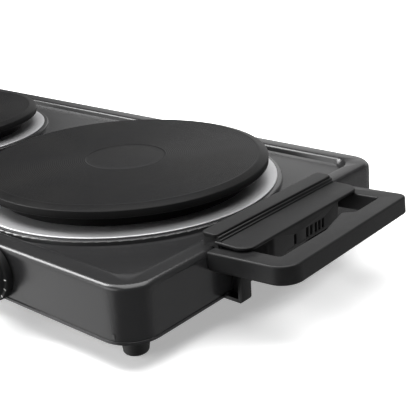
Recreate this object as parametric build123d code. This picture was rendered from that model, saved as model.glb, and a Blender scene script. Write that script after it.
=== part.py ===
from build123d import *
import os

os.makedirs("parts", exist_ok=True)

# Two-zone tabletop hot plate. X runs along the body, -Y is the side with the knobs, Z = 0 is the table.
# All sizes are in millimetres.

# Cooking zones
large_plate_diameter = 185.0
small_plate_diameter = 155.0
plate_rim_thickness = 6.0
plate_stand = 8.6  # height of the plate's skirt below its rim
skirt_inset = 10.9  # from the plate's edge in to its skirt
skirt_thickness = 4.0
plate_edge_radius = 0.6
plate_chamfer_width = 5.3
plate_chamfer_drop = 1.5
plate_boss_radius = 9.0
stud_socket_depth = 6.0

# Trim rings and the raised seats under them
ring_overhang = 5.3  # from the plate's edge out to the ring's edge
ring_sheet = 0.9
ring_inset = 17.5  # from the plate's edge in to the ring's bore
ring_edge_radius = 0.4
seat_margin = 2.9  # from the ring's edge out to the seat's top edge
seat_flare = 1.0  # how much wider the seat is at its foot
seat_height = 2.3
seat_edge_radius = 0.8

# Housing
wall_height = 30.2
wall_draft = 0.3  # how far each wall leans in over its height
housing_sheet = 0.9
corner_radius = 18.5
shoulder_radius = 3.6
rim_width = 13.0
rim_inner_radius = 2.6
deck_drop = 3.7
pocket_slope = 1.7
pocket_corner_radius = 12.0
pocket_gap = 0.4  # between the large seat's foot and the pocket's wall
plate_gap = 45.0
large_end_margin = 27.9
small_end_margin = 31.7
hem_height = 1.5
hem_stand = 0.5

# Base pan
pan_sheet = 0.9
pan_recess = 1.0  # how far the pan sits up inside the walls
pan_clearance = 0.3
pan_flange = 5.0
vent_length = 26.0
vent_width = 3.0
vent_pitch = 9.0
vents_per_row = 9

# Feet and their screws
hole_cut = 10.0
small_round = 0.8
fine_round = 0.6
foot_height = 16.4
foot_top_radius = 8.5
foot_bottom_radius = 6.8
foot_round = 1.5
foot_inset_x = 20.0
foot_inset_y = 21.0
foot_recess_radius = 4.0
foot_recess_depth = 9.0
foot_screw_radius = 2.0
foot_screw_head_radius = 3.6
foot_screw_head_height = 2.4
tab_thickness = 2.4
tab_width = 15.0
tab_gap = 0.8

# Clamp under each plate
stud_radius = 3.0
stud_hole_clearance = 0.3
bridge_width = 22.0
bridge_thickness = 3.0
bridge_bearing = 8.0  # how far each end of the bridge reaches under the seat
bridge_corner_radius = 4.0
shield_inset = 24.0
shield_sheet = 0.8
shield_flange = 4.0
washer_radius = 9.0
washer_thickness = 1.2
nut_flats = 10.0
nut_height = 5.0
stud_tail = 2.5

# Heating elements
element_inner_radius = 20.0
element_gap = 1.0  # between the element and the inside of the skirt
element_thickness = 4.5
terminal_radius_place = 45.0
terminal_block_length = 20.0
terminal_block_width = 8.0
terminal_block_drop = 16.0
terminal_pin_radius = 1.2
terminal_pin_length = 5.0
terminal_clearance = 0.6

# Controls
knob_offset = 16.5  # from the plate's centre line towards the large end
knob_height = foot_height + 14.0
knob_radius = 16.0
knob_skirt = 4.0
knob_waist_radius = 13.6
knob_depth = 17.0
knob_wall_gap = 0.8
knob_grip_width = 7.5
knob_grip_rise = 6.0
knob_cavity_radius = 9.5
knob_cavity_depth = 6.0
knob_round = 1.0
pointer_width = 1.6
pointer_inlay = 0.5
pointer_length = 9.0
spindle_radius = 3.0
spindle_flat = 0.7
spindle_bearing_gap = 0.05
bush_radius = 5.0
bush_shoulder_radius = 7.0
bush_reach = 3.4  # from the wall out to the bush's end
bush_hole_clearance = 0.2
bush_nut_flats = 13.0
bush_nut_height = 2.2
thermostat_width = 32.0
thermostat_depth = 24.0
thermostat_height = 15.0
thermostat_stand = 2.0  # gap between the front wall and the switch body
blade_pitch = 9.0
thermostat_blade_length = 7.0
thermostat_blade_width = 6.3
thermostat_blade_thickness = 0.8

# Indicator lamps
lamp_offset = 34.0  # from each knob's axis towards the small end
lamp_radius = 4.0
lamp_flange_radius = 5.2
lamp_stand = 1.4
lamp_tail = 3.0
lamp_body_length = 16.0
lamp_hole_clearance = 0.1

# Handles
saddle_half_width = 54.8
saddle_inner_reach = 8.9  # from the end wall in over the rim
saddle_height = 7.6
saddle_lip = 2.2
saddle_lip_overhang = 1.0
step_width = 1.1
step_drop = 1.35
step_count = 2
shelf_reach = 21.6
shelf_step_start = 1.5  # from the end wall out to the first step
shelf_rise = 4.0
shelf_thickness = 1.6
shelf_corner_radius = 8.0
grip_reach = 50.9
grip_root_half_width = 61.0
grip_end_half_width = 60.2
grip_corner_radius = 12.0
grip_rear_corner_radius = 6.0
grip_thickness = 10.4
grip_rise = 0.3
grip_bar_width = 13.3
grip_bulge = 6.5
grip_bulge_end = 23.0  # the bulge's steep end, towards the back
grip_bulge_peak = 18.0
grip_bulge_waist = 4.0
grip_bulge_start = -8.0
grip_tilt = 3.5  # degrees the grip rises towards its bar
grip_edge_radius = 1.2
opening_half_width = 48.5
opening_corner_radius = 2.0
apron_reach = 20.9
apron_corner_radius = 3.0
apron_half_width = 33.5
handle_wall = 2.6
handle_gap = 0.15  # between the moulding and the housing's end wall
slot_width = 2.4
slot_height = 6.0
slot_places = (-12.0, -0.5, 3.4, 8.0, 11.6, 15.2)
leg_width = 8.0
leg_reach = 10.5
leg_wall = 2.6
leg_inset = 8.0
hook_reach = 5.0
hook_thickness = 2.0
handle_screw_radius = 1.9
handle_screw_clearance = 0.2
handle_screw_length = 9.0
handle_screw_head_radius = 3.2
handle_screw_head_height = 2.2
handle_screw_place = 54.5
handle_screw_drop = 7.2  # from the grip's top down to the screw

# Mains entry and wiring
gland_x = -40.0
gland_height = foot_height + 15.1
gland_bore_radius = 3.6
gland_wall = 2.4
gland_flange_radius = 8.5
gland_flange_thickness = 2.2
gland_outside = 6.0
gland_inside = 8.0
terminal_strip_length = 34.0
terminal_strip_width = 16.0
terminal_strip_height = 11.0
terminal_strip_setback = 26.0
strip_screw_radius = 2.4
strip_screw_height = 1.2
wire_radius = 1.1
wire_lift = 4.0
wire_bend = 5.0
wire_lead = 14.0  # straight lead before a wire dips to the base pan

# Places worked out from the sizes above
large_radius = large_plate_diameter / 2
small_radius = small_plate_diameter / 2
body_length = small_end_margin + small_plate_diameter + plate_gap + large_plate_diameter + large_end_margin
seat_foot_radius = large_radius + ring_overhang + seat_margin + seat_flare
rim_band = wall_draft + rim_width + pocket_slope
body_depth = 2 * (seat_foot_radius + pocket_gap + rim_band)
half_length = body_length / 2
half_depth = body_depth / 2
large_x = half_length - large_end_margin - large_radius
small_x = -half_length + small_end_margin + small_radius
wall_bottom = foot_height - pan_recess
rim_top = wall_bottom + wall_height
deck_top = rim_top - deck_drop
seat_top = deck_top + seat_height
seat_under = seat_top - housing_sheet
ring_top = seat_top + ring_sheet
skirt_bottom = ring_top
rim_under = skirt_bottom + plate_stand
plate_top = rim_under + plate_rim_thickness
pan_top = foot_height + pan_sheet
front_reach = knob_wall_gap + knob_depth
back_reach = gland_outside
body_y = (front_reach - back_reach) / 2
front_y = body_y - half_depth
back_y = body_y + half_depth
wall_back = -housing_sheet - wall_draft  # inner face of a wall, measured out from its foot
handle_screw_height = rim_top + grip_rise - handle_screw_drop
blade_end_y = front_y + housing_sheet + thermostat_stand + thermostat_depth + thermostat_blade_length
pin_top = rim_under - element_thickness - terminal_block_drop
zones = [("large", large_radius, large_x), ("small", small_radius, small_x)]
knob_places = [x + knob_offset for name, radius, x in zones]


def block(low, high):
    """Box between two corners."""
    size = [abs(b - a) for a, b in zip(low, high)]
    middle = [(a + b) / 2 for a, b in zip(low, high)]
    return Pos(*middle) * Box(*size)


def disc(radius, bottom, top):
    return Pos(0, 0, bottom) * extrude(Circle(radius), top - bottom)


def tube(outer, inner, bottom, top):
    return Pos(0, 0, bottom) * extrude(Circle(outer) - Circle(inner), top - bottom)


def cone(bottom_radius, top_radius, bottom, top):
    height = top - bottom
    return Pos(0, 0, bottom + height / 2) * Cone(bottom_radius, top_radius, height)


def hexagon(flats, bottom, top):
    return Pos(0, 0, bottom) * extrude(RegularPolygon(flats / 2, 6, major_radius=False), top - bottom)


def rings_at(shape, height, radius):
    """Circular edges of a turned shape at one height and radius."""
    return [
        edge
        for edge in shape.edges().filter_by(GeomType.CIRCLE)
        if abs(edge.center().Z - height) < 0.01 and abs(edge.radius - radius) < 0.01
    ]


def along_y(shape, x, y, z):
    """Turns a shape made along Z so that it points out of the front wall."""
    return Pos(x, y, z) * Rot(90, 0, 0) * shape


def wall_block(inset, bottom, top, radius):
    """Tapered block that follows the housing's walls, inset from their outer faces."""
    sections = []
    for height in (bottom, top):
        lean = wall_draft * (height - wall_bottom) / wall_height
        length = body_length - 2 * (inset + lean)
        depth = body_depth - 2 * (inset + lean)
        sections.append(Pos(0, body_y, height) * RectangleRounded(length, depth, radius))
    return loft(sections, ruled=True)


def pocket(grow, bottom, top):
    """Sunken middle of the housing, grown outwards by the sheet's thickness where asked."""
    slope = pocket_slope / deck_drop
    sections = []
    for height in (bottom, top):
        shrink = (rim_top - height) * slope - grow
        length = body_length - 2 * (wall_draft + rim_width + shrink)
        depth = body_depth - 2 * (wall_draft + rim_width + shrink)
        sections.append(Pos(0, body_y, height) * RectangleRounded(length, depth, pocket_corner_radius + grow))
    return loft(sections, ruled=True)


def seat(radius, shrink, top):
    foot = radius + ring_overhang + seat_margin + seat_flare - shrink
    return cone(foot, foot - seat_flare, deck_top - housing_sheet, top)


def foot_places():
    for side_x in (-1, 1):
        for side_y in (-1, 1):
            yield side_x * (half_length - foot_inset_x), body_y + side_y * (half_depth - foot_inset_y), side_y


def make_tab(x, y, side_y):
    """Threaded tab that reaches in from the long wall above each foot."""
    bottom = pan_top + tab_gap
    wall = body_y + side_y * (half_depth - housing_sheet / 2)
    inner_y = y - side_y * tab_width / 2
    return block((x - tab_width / 2, inner_y, bottom), (x + tab_width / 2, wall, bottom + tab_thickness))


def in_pocket(edge):
    place = edge.center()
    return abs(place.X) < half_length - rim_width and abs(place.Y - body_y) < half_depth - rim_width


def make_housing():
    outer = wall_block(0, wall_bottom, rim_top, corner_radius)
    outer = fillet(outer.edges().group_by(Axis.Z)[-1], shoulder_radius)
    outer -= pocket(0, deck_top, rim_top + 1)
    outer = fillet([e for e in outer.edges().filter_by_position(Axis.Z, rim_top, rim_top) if in_pocket(e)],
                   rim_inner_radius)
    inner = wall_block(housing_sheet, wall_bottom - 1, rim_top - housing_sheet, corner_radius - housing_sheet)
    inner = fillet(inner.edges().group_by(Axis.Z)[-1], shoulder_radius - housing_sheet)
    inner -= pocket(housing_sheet, deck_top - housing_sheet, rim_top + 1)
    shell = outer
    for name, radius, x in zones:
        raised = seat(radius, 0, seat_top)
        top_radius = radius + ring_overhang + seat_margin
        raised = fillet(rings_at(raised, seat_top, top_radius), seat_edge_radius)
        shell += Pos(x, body_y, 0) * raised
    shell -= inner
    for name, radius, x in zones:
        shell -= Pos(x, body_y, 0) * seat(radius, housing_sheet, seat_under)
        shell -= Pos(x, body_y, 0) * disc(radius - ring_inset, deck_top - 5, seat_top + 1)
    hem = wall_block(-hem_stand, wall_bottom, wall_bottom + hem_height, corner_radius + hem_stand)
    hem = fillet(hem.edges().group_by(Axis.Z)[-1], hem_stand / 2)
    shell += hem - wall_block(housing_sheet, wall_bottom - 1, wall_bottom + hem_height + 1,
                              corner_radius - housing_sheet)
    for x, y, side_y in foot_places():
        shell += make_tab(x, y, side_y)
        shell -= Pos(x, y, 0) * disc(foot_screw_radius, pan_top, pan_top + 10)
    for x in knob_places:
        shell -= along_y(disc(bush_radius + bush_hole_clearance, -hole_cut, hole_cut), x, front_y, knob_height)
        shell -= along_y(disc(lamp_radius + lamp_hole_clearance, -hole_cut, hole_cut), x - lamp_offset, front_y, knob_height)
    shell -= along_y(disc(gland_bore_radius + gland_wall, -hole_cut, hole_cut), gland_x, back_y, gland_height)
    for side_x in (-1, 1):
        for side_y in (-1, 1):
            hole = Pos(side_x * half_length, body_y + side_y * handle_screw_place, handle_screw_height)
            shell -= hole * Rot(0, 90, 0) * disc(handle_screw_radius + handle_screw_clearance, -hole_cut, hole_cut)
    return shell


def make_base_pan():
    reach = housing_sheet + pan_clearance
    height = pan_flange
    pan = wall_block(reach, foot_height, foot_height + height, corner_radius - reach)
    pan -= wall_block(reach + pan_sheet, pan_top, foot_height + height + 1, corner_radius - reach - pan_sheet)
    for x, y, side_y in foot_places():
        pan -= Pos(x, y, 0) * disc(foot_screw_radius + 0.2, 0, pan_top + 1)
        notch = block((x - tab_width / 2 - 1, y, pan_top + tab_gap / 2), (x + tab_width / 2 + 1, y + side_y * 40, 60))
        pan -= notch
    first = -(vents_per_row - 1) / 2
    for centre in (large_x, small_x):
        for n in range(vents_per_row):
            for row_y in (-1, 1):
                place = Pos(centre + (first + n) * vent_pitch, body_y + row_y * 30, 0)
                pan -= place * extrude(SlotOverall(vent_length, vent_width, rotation=90), pan_top + 1)
    return pan


def make_foot():
    foot = cone(foot_bottom_radius, foot_top_radius, 0, foot_height)
    foot = fillet(rings_at(foot, 0, foot_bottom_radius), foot_round)
    foot -= disc(foot_recess_radius, -1, foot_recess_depth)
    foot -= disc(foot_screw_radius, -1, foot_height + 1)
    return foot


def make_foot_screw():
    head_bottom = foot_recess_depth - foot_screw_head_height
    screw = disc(foot_screw_head_radius, head_bottom, foot_recess_depth)
    screw += disc(foot_screw_radius, foot_recess_depth, pan_top + tab_gap + tab_thickness + 1)
    return fillet(rings_at(screw, head_bottom, foot_screw_head_radius), small_round)


def make_plate(radius):
    """Cast-iron plate with a skirt that stands on the trim ring and a boss for the clamp's stud."""
    skirt_outer = radius - skirt_inset
    chamfer_foot = plate_top - plate_chamfer_drop
    plate = disc(radius, rim_under, chamfer_foot)
    plate += cone(radius, radius - plate_chamfer_width, chamfer_foot, plate_top)
    plate += tube(skirt_outer, skirt_outer - skirt_thickness, skirt_bottom, rim_under)
    plate += disc(plate_boss_radius, skirt_bottom, rim_under)
    plate = fillet(rings_at(plate, chamfer_foot, radius), plate_edge_radius)
    plate -= disc(stud_radius, skirt_bottom - 1, skirt_bottom + stud_socket_depth)
    return plate


def make_ring(radius):
    outer = radius + ring_overhang
    ring = tube(outer, radius - ring_inset, seat_top, ring_top)
    return fillet(rings_at(ring, ring_top, outer), ring_edge_radius)


def make_element(radius):
    """Coil set in a flat ceramic ring, pressed against the underside of the plate."""
    outer = radius - skirt_inset - skirt_thickness - element_gap
    return tube(outer, element_inner_radius, rim_under - element_thickness, rim_under)


def make_element_terminals():
    """Ceramic bead with three pins, hanging from the element through the heat shield."""
    top = rim_under - element_thickness
    bottom = top - terminal_block_drop
    half_long = terminal_block_length / 2
    half_wide = terminal_block_width / 2
    bead = block((-half_long, -half_wide, bottom), (half_long, half_wide, top))
    for x in (-half_long / 1.6, 0, half_long / 1.6):
        bead += Pos(x, 0, 0) * disc(terminal_pin_radius, bottom - terminal_pin_length, bottom)
    return Pos(0, terminal_radius_place, 0) * bead


def make_bridge(radius):
    length = 2 * (radius - ring_inset + bridge_bearing)
    bridge = extrude(RectangleRounded(length, bridge_width, bridge_corner_radius), -bridge_thickness)
    bridge -= disc(stud_radius + stud_hole_clearance, -bridge_thickness - 1, 1)
    return Pos(0, 0, seat_under) * bridge


def make_shield(radius):
    top = seat_under - bridge_thickness
    outer = radius - shield_inset
    shield = disc(outer, top - shield_sheet, top)
    shield += tube(outer, outer - shield_sheet, top - shield_flange, top)
    shield -= disc(stud_radius + stud_hole_clearance, top - 5, top + 1)
    half_long = terminal_block_length / 2 + terminal_clearance
    half_wide = terminal_block_width / 2 + terminal_clearance
    window = block((-half_long, terminal_radius_place - half_wide, top - 5),
                   (half_long, terminal_radius_place + half_wide, top + 5))
    return shield - window


def make_washer():
    top = seat_under - bridge_thickness - shield_sheet
    return tube(washer_radius, stud_radius + stud_hole_clearance, top - washer_thickness, top)


def make_clamp_nut():
    top = seat_under - bridge_thickness - shield_sheet - washer_thickness
    return hexagon(nut_flats, top - nut_height, top) - disc(stud_radius, top - 20, top + 1)


def make_stud():
    nut_bottom = seat_under - bridge_thickness - shield_sheet - washer_thickness - nut_height
    stud = disc(stud_radius, nut_bottom - stud_tail, skirt_bottom + stud_socket_depth)
    return chamfer(stud.edges().group_by(Axis.Z)[0], 0.6)


def d_profile(radius):
    flat = radius - spindle_flat
    return Circle(radius) - Pos(0, radius + flat) * Rectangle(4 * radius, 2 * radius)


def make_thermostat():
    """Energy regulator behind the front wall, made along the knob's axis with the wall at zero."""
    back = -housing_sheet - thermostat_stand
    body = Pos(0, 0, back - thermostat_depth) * extrude(
        RectangleRounded(thermostat_width, thermostat_height, 2), thermostat_depth)
    body += disc(bush_shoulder_radius, back, wall_back)
    body += disc(bush_radius, wall_back, bush_reach)
    for x in (-blade_pitch, 0, blade_pitch):
        body += Pos(x, 0, back - thermostat_depth - thermostat_blade_length / 2) * Box(
            thermostat_blade_width, thermostat_blade_thickness, thermostat_blade_length)
    return body - disc(spindle_radius + spindle_bearing_gap, back - 6, bush_reach + 1)


def make_bush_nut():
    nut = hexagon(bush_nut_flats, 0, bush_nut_height)
    return nut - disc(bush_radius, -1, bush_nut_height + 1)


def make_spindle():
    """Round where it turns in the bush, flatted where the knob grips it."""
    back = -housing_sheet - thermostat_stand - 5.5
    tip = knob_wall_gap + knob_depth - knob_grip_rise - 3
    spindle = disc(spindle_radius, back, bush_reach + 0.4)
    spindle += Pos(0, 0, bush_reach + 0.4) * extrude(d_profile(spindle_radius), tip - bush_reach - 0.4)
    return spindle


def make_knob():
    back = knob_wall_gap
    face = back + knob_depth - knob_grip_rise
    knob = disc(knob_radius, back, back + knob_skirt)
    knob = fillet(rings_at(knob, back + knob_skirt, knob_radius), knob_round)
    knob += cone(knob_waist_radius + 0.6, knob_waist_radius - 0.6, back + knob_skirt - 1, face)
    knob = fillet(rings_at(knob, face, knob_waist_radius - 0.6), knob_round)
    grip = Pos(0, 0, back + knob_skirt) * extrude(
        SlotOverall(2 * knob_waist_radius, knob_grip_width, rotation=90), knob_depth - knob_skirt)
    grip = fillet(grip.edges().group_by(Axis.Z)[-1], knob_round)
    knob += grip
    knob -= disc(knob_cavity_radius, back - 1, back + knob_cavity_depth)
    tip = knob_wall_gap + knob_depth - knob_grip_rise - 3
    knob -= Pos(0, 0, back) * extrude(d_profile(spindle_radius), tip - back)
    knob -= pointer_shape()
    return knob


def pointer_shape():
    top = knob_wall_gap + knob_depth
    inner = knob_waist_radius - 1.5 - pointer_length
    return block((-pointer_width / 2, inner, top - pointer_inlay), (pointer_width / 2, inner + pointer_length, top))


def make_lamp():
    """Ribbed lens outside the wall with its holder behind it."""
    lens = disc(lamp_flange_radius, 0, lamp_stand)
    lens = fillet(rings_at(lens, lamp_stand, lamp_flange_radius), fine_round)
    return lens + disc(lamp_radius, -lamp_tail, 0)


def make_lamp_holder():
    return disc(lamp_radius - 0.2, -lamp_tail - lamp_body_length, -lamp_tail)


def make_gland():
    bore = disc(gland_bore_radius, -gland_inside - 1, gland_outside + 1)
    gland = disc(gland_bore_radius + gland_wall, -gland_inside, gland_outside)
    gland += disc(gland_flange_radius, 0, gland_flange_thickness)
    gland = fillet(rings_at(gland, gland_flange_thickness, gland_flange_radius), small_round)
    return gland - bore


def grip_outline():
    """Outline of the grip loop, from the housing's end wall out to the bar and back."""
    root = grip_root_half_width
    tip = grip_end_half_width
    return Polyline((0, -root), (grip_reach, -tip), (grip_reach, tip), (0, root), close=True)


def make_grip_opening():
    """Finger opening between the apron and the bar, with the bar's bulge for the fingers."""
    inner = handle_wall
    outer = grip_reach - grip_bar_width
    side = opening_half_width
    outline = Polyline((inner, -side), (outer, -side), (outer, grip_bulge_start),
                       (outer - grip_bulge / 2, grip_bulge_waist), (outer - grip_bulge, grip_bulge_peak),
                       (outer, grip_bulge_end), (outer, side), (inner, side), close=True)
    opening = extrude(make_face(outline), grip_thickness)
    return fillet(opening.edges().filter_by(Axis.Z), opening_corner_radius)


def make_grip():
    """Grip loop, made flat from its root and then tilted up about it."""
    loop = extrude(make_face(grip_outline()), grip_thickness)
    ends = [e for e in loop.edges().filter_by(Axis.Z) if e.center().X > grip_reach / 2]
    loop = fillet(max(ends, key=lambda e: e.center().Y), grip_rear_corner_radius)
    ends = [e for e in loop.edges().filter_by(Axis.Z) if e.center().X > grip_reach / 2]
    loop = fillet(min(ends, key=lambda e: e.center().Y), grip_corner_radius)
    loop -= make_grip_opening()
    rim = loop.faces().filter_by(Axis.Z).edges().filter_by(lambda e: e.center().X > grip_edge_radius)
    loop = fillet(rim, grip_edge_radius)
    root = Pos(half_length + handle_gap, 0, rim_top + grip_rise)
    return root * Rot(0, -grip_tilt, 0) * Pos(0, 0, -grip_thickness) * loop


def make_handle():
    """Handle moulding at the large end, centred on Y = 0."""
    grip_top = rim_top + grip_rise
    grip_bottom = grip_top - grip_thickness
    shelf_top = rim_top + shelf_rise
    shelf_bottom = shelf_top - shelf_thickness
    wall = half_length + handle_gap
    apron = block((wall, -apron_half_width, grip_bottom), (half_length + apron_reach, apron_half_width, shelf_bottom))
    apron = fillet([e for e in apron.edges().filter_by(Axis.Z) if e.center().X > half_length + apron_reach / 4], apron_corner_radius)
    apron -= block((wall + handle_wall, -apron_half_width + handle_wall, grip_bottom - 1),
                   (half_length + apron_reach - handle_wall, apron_half_width - handle_wall, shelf_bottom - 1))
    for place in slot_places:
        apron -= block((half_length + 10, place - slot_width / 2, grip_bottom + 1.5),
                       (half_length + 30, place + slot_width / 2, grip_bottom + 1.5 + slot_height))
    back = block((wall, -saddle_half_width, grip_bottom), (wall + handle_wall, saddle_half_width, shelf_bottom))
    shelf = extrude(Rectangle(shelf_reach - handle_gap, 2 * saddle_half_width), shelf_thickness)
    shelf = fillet([e for e in shelf.edges().filter_by(Axis.Z) if e.center().X > 0], shelf_corner_radius)
    shelf = fillet(shelf.edges().group_by(Axis.Z)[-1], small_round)
    shelf = Pos(wall + (shelf_reach - handle_gap) / 2, 0, shelf_bottom) * shelf
    moulding = make_grip() + apron + back + shelf + make_saddle()
    for side in (-1, 1):
        moulding += make_leg(side)
        hole = Pos(wall, side * handle_screw_place, handle_screw_height) * Rot(0, 90, 0)
        moulding -= hole * disc(handle_screw_radius, -2, handle_screw_length)
    return moulding


def make_saddle():
    """Stepped strip that sits on the rim above the end wall."""
    top = rim_top + saddle_height
    inner = half_length - saddle_inner_reach
    outer = half_length + shelf_step_start
    lip = extrude(RectangleRounded(outer - inner, 2 * saddle_half_width, 2.5), saddle_lip)
    lip = fillet(lip.edges().group_by(Axis.Z)[-1], fine_round)
    saddle = Pos((inner + outer) / 2, 0, top - saddle_lip) * lip
    edge = saddle_lip_overhang
    saddle += block((inner + edge, -saddle_half_width + edge, rim_top),
                    (outer, saddle_half_width - edge, top - saddle_lip / 2))
    for n in range(step_count):
        step_top = top - (n + 1) * step_drop
        saddle += block((outer - 1, -saddle_half_width + edge, rim_top + 0.2),
                        (outer + (n + 1) * step_width, saddle_half_width - edge, step_top))
    return saddle


def make_leg(side):
    """Leg under one arm, with a hook that turns in beneath the housing's wall."""
    outer_y = side * (saddle_half_width - leg_inset)
    inner_y = outer_y - side * leg_width
    wall = half_length + hem_stand + handle_gap
    bottom = wall_bottom - hook_thickness
    top = rim_top + grip_rise - grip_thickness + 1
    web = block((half_length + leg_reach - leg_wall, outer_y, bottom), (half_length + leg_reach, inner_y, top))
    web = fillet([e for e in web.edges().filter_by(Axis.Y) if e.center().Z < top - 1
                  and e.center().X > half_length + leg_reach - 1], 1.8)
    rib = block((wall, inner_y, bottom), (half_length + leg_reach - 1, inner_y + side * leg_wall, top))
    hook = block((half_length - hook_reach, outer_y, bottom), (half_length + leg_reach - 1, inner_y, wall_bottom))
    return web + rib + hook


def make_handle_screw():
    """Made along X, with its head inside the end wall."""
    inside = half_length - housing_sheet - wall_draft
    turned = disc(handle_screw_head_radius, -handle_screw_head_height, 0)
    turned = fillet(rings_at(turned, -handle_screw_head_height, handle_screw_head_radius), small_round)
    turned += disc(handle_screw_radius, -0.1, handle_screw_length)
    return Pos(inside, 0, handle_screw_height) * Rot(0, 90, 0) * turned


def make_terminal_strip():
    strip = block((-terminal_strip_length / 2, -terminal_strip_width / 2, 0),
                  (terminal_strip_length / 2, terminal_strip_width / 2, terminal_strip_height))
    return chamfer(strip.edges().group_by(Axis.Z)[-1], 1.0)


def make_strip_screws():
    pitch = terminal_strip_length / 3
    screws = []
    for x in (-pitch, 0, pitch):
        for y in (-terminal_strip_width / 4, terminal_strip_width / 4):
            screws.append(Pos(x, y, 0) * disc(strip_screw_radius, terminal_strip_height,
                                              terminal_strip_height + strip_screw_height))
    return screws


def make_wire(*points):
    path = FilletPolyline(*points, radius=wire_bend)
    return sweep(Plane(origin=path @ 0, z_dir=path % 0) * Circle(wire_radius), path=path)


def make_feed_wire(pole_x, knob_x):
    """From a pole of the terminal strip to the first blade of a thermostat."""
    low = pan_top + wire_lift
    strip_y = back_y - terminal_strip_setback - terminal_strip_width / 2
    blade_x = knob_x - blade_pitch
    return make_wire((pole_x, strip_y, low), (pole_x, strip_y - 1.5 * wire_lead, low),
                     (blade_x, blade_end_y + 2 * wire_lead, low), (blade_x, blade_end_y + wire_lead, knob_height),
                     (blade_x, blade_end_y, knob_height))


def make_load_wire(plate_x, knob_x):
    """From the last blade of a thermostat to the middle pin of its element."""
    low = pan_top + wire_lift
    blade_x = knob_x + blade_pitch
    pin_y = body_y + terminal_radius_place - terminal_pin_radius
    pin_z = pin_top - terminal_pin_length / 2
    return make_wire((blade_x, blade_end_y, knob_height), (blade_x, blade_end_y + wire_lead, knob_height),
                     (blade_x, blade_end_y + 2 * wire_lead, low), (plate_x, pin_y - 2 * wire_lead, low),
                     (plate_x, pin_y - wire_lead, pin_z), (plate_x, pin_y, pin_z))


def save(name, shape):
    export_step(shape, f"parts/{name}.step")


def group(solids):
    return Compound(children=[s.solid() for s in solids])


def both_sides(shape):
    """A fitting at the large end and the same one turned round at the small end."""
    return Pos(0, body_y, 0) * shape, Pos(0, body_y, 0) * Rot(0, 0, 180) * shape


save("housing", make_housing())
save("base_pan", make_base_pan())
save("feet", group([Pos(x, y, 0) * make_foot() for x, y, side in foot_places()]))
save("foot_screws", group([Pos(x, y, 0) * make_foot_screw() for x, y, side in foot_places()]))

for name, radius, x in zones:
    centre = Pos(x, body_y, 0)
    save(f"{name}_plate", centre * make_plate(radius))
    save(f"{name}_trim_ring", centre * make_ring(radius))
    save(f"{name}_element", centre * make_element(radius))
    save(f"{name}_element_terminals", centre * make_element_terminals())
    save(f"{name}_clamp_bridge", centre * make_bridge(radius))
    save(f"{name}_heat_shield", centre * make_shield(radius))
    save(f"{name}_clamp_washer", centre * make_washer())
    save(f"{name}_clamp_nut", centre * make_clamp_nut())
    save(f"{name}_plate_stud", centre * make_stud())
    knob_x = x + knob_offset
    save(f"{name}_thermostat", along_y(make_thermostat(), knob_x, front_y, knob_height))
    save(f"{name}_bush_nut", along_y(make_bush_nut(), knob_x, front_y, knob_height))
    save(f"{name}_spindle", along_y(make_spindle(), knob_x, front_y, knob_height))
    save(f"{name}_knob", along_y(make_knob(), knob_x, front_y, knob_height))
    save(f"{name}_knob_pointer", along_y(pointer_shape(), knob_x, front_y, knob_height))
    save(f"{name}_lamp_lens", along_y(make_lamp(), knob_x - lamp_offset, front_y, knob_height))
    save(f"{name}_lamp_holder", along_y(make_lamp_holder(), knob_x - lamp_offset, front_y, knob_height))

right_handle, left_handle = both_sides(make_handle())
save("right_handle", right_handle)
save("left_handle", left_handle)
screws = []
for side in (-1, 1):
    screws.extend(both_sides(Pos(0, side * handle_screw_place, 0) * make_handle_screw()))
save("handle_screws", group(screws))

save("cord_gland", Pos(gland_x, back_y, gland_height) * Rot(-90, 0, 0) * make_gland())
strip_place = Pos(gland_x, back_y - terminal_strip_setback, pan_top)
save("terminal_strip", strip_place * make_terminal_strip())
save("terminal_strip_screws", group([strip_place * s for s in make_strip_screws()]))

wires = []
for (name, radius, x), knob_x, side in zip(zones, knob_places, (1, -1)):
    wires.append(make_feed_wire(gland_x + side * terminal_strip_length / 3, knob_x))
    wires.append(make_load_wire(x, knob_x))
save("internal_wires", group(wires))
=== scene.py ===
import math

import bmesh
import bpy
from mathutils import Matrix, Vector


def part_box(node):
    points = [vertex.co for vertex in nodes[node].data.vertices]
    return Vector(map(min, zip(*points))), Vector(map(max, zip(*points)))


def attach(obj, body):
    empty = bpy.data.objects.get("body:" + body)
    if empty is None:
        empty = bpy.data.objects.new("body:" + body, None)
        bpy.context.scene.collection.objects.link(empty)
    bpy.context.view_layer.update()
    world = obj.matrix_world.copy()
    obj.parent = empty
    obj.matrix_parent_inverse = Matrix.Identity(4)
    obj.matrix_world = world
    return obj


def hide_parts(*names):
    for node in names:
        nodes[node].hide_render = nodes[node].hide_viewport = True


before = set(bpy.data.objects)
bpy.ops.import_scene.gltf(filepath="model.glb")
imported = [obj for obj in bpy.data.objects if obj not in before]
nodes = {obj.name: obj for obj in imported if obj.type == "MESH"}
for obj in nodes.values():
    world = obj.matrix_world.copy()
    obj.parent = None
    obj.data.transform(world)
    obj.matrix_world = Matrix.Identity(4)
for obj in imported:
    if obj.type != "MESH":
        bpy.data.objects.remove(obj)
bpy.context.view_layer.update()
zoneNames = ("large", "small")
mm = 0.001


def middle(name):
    low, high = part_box(name)
    return (low + high) / 2


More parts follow.
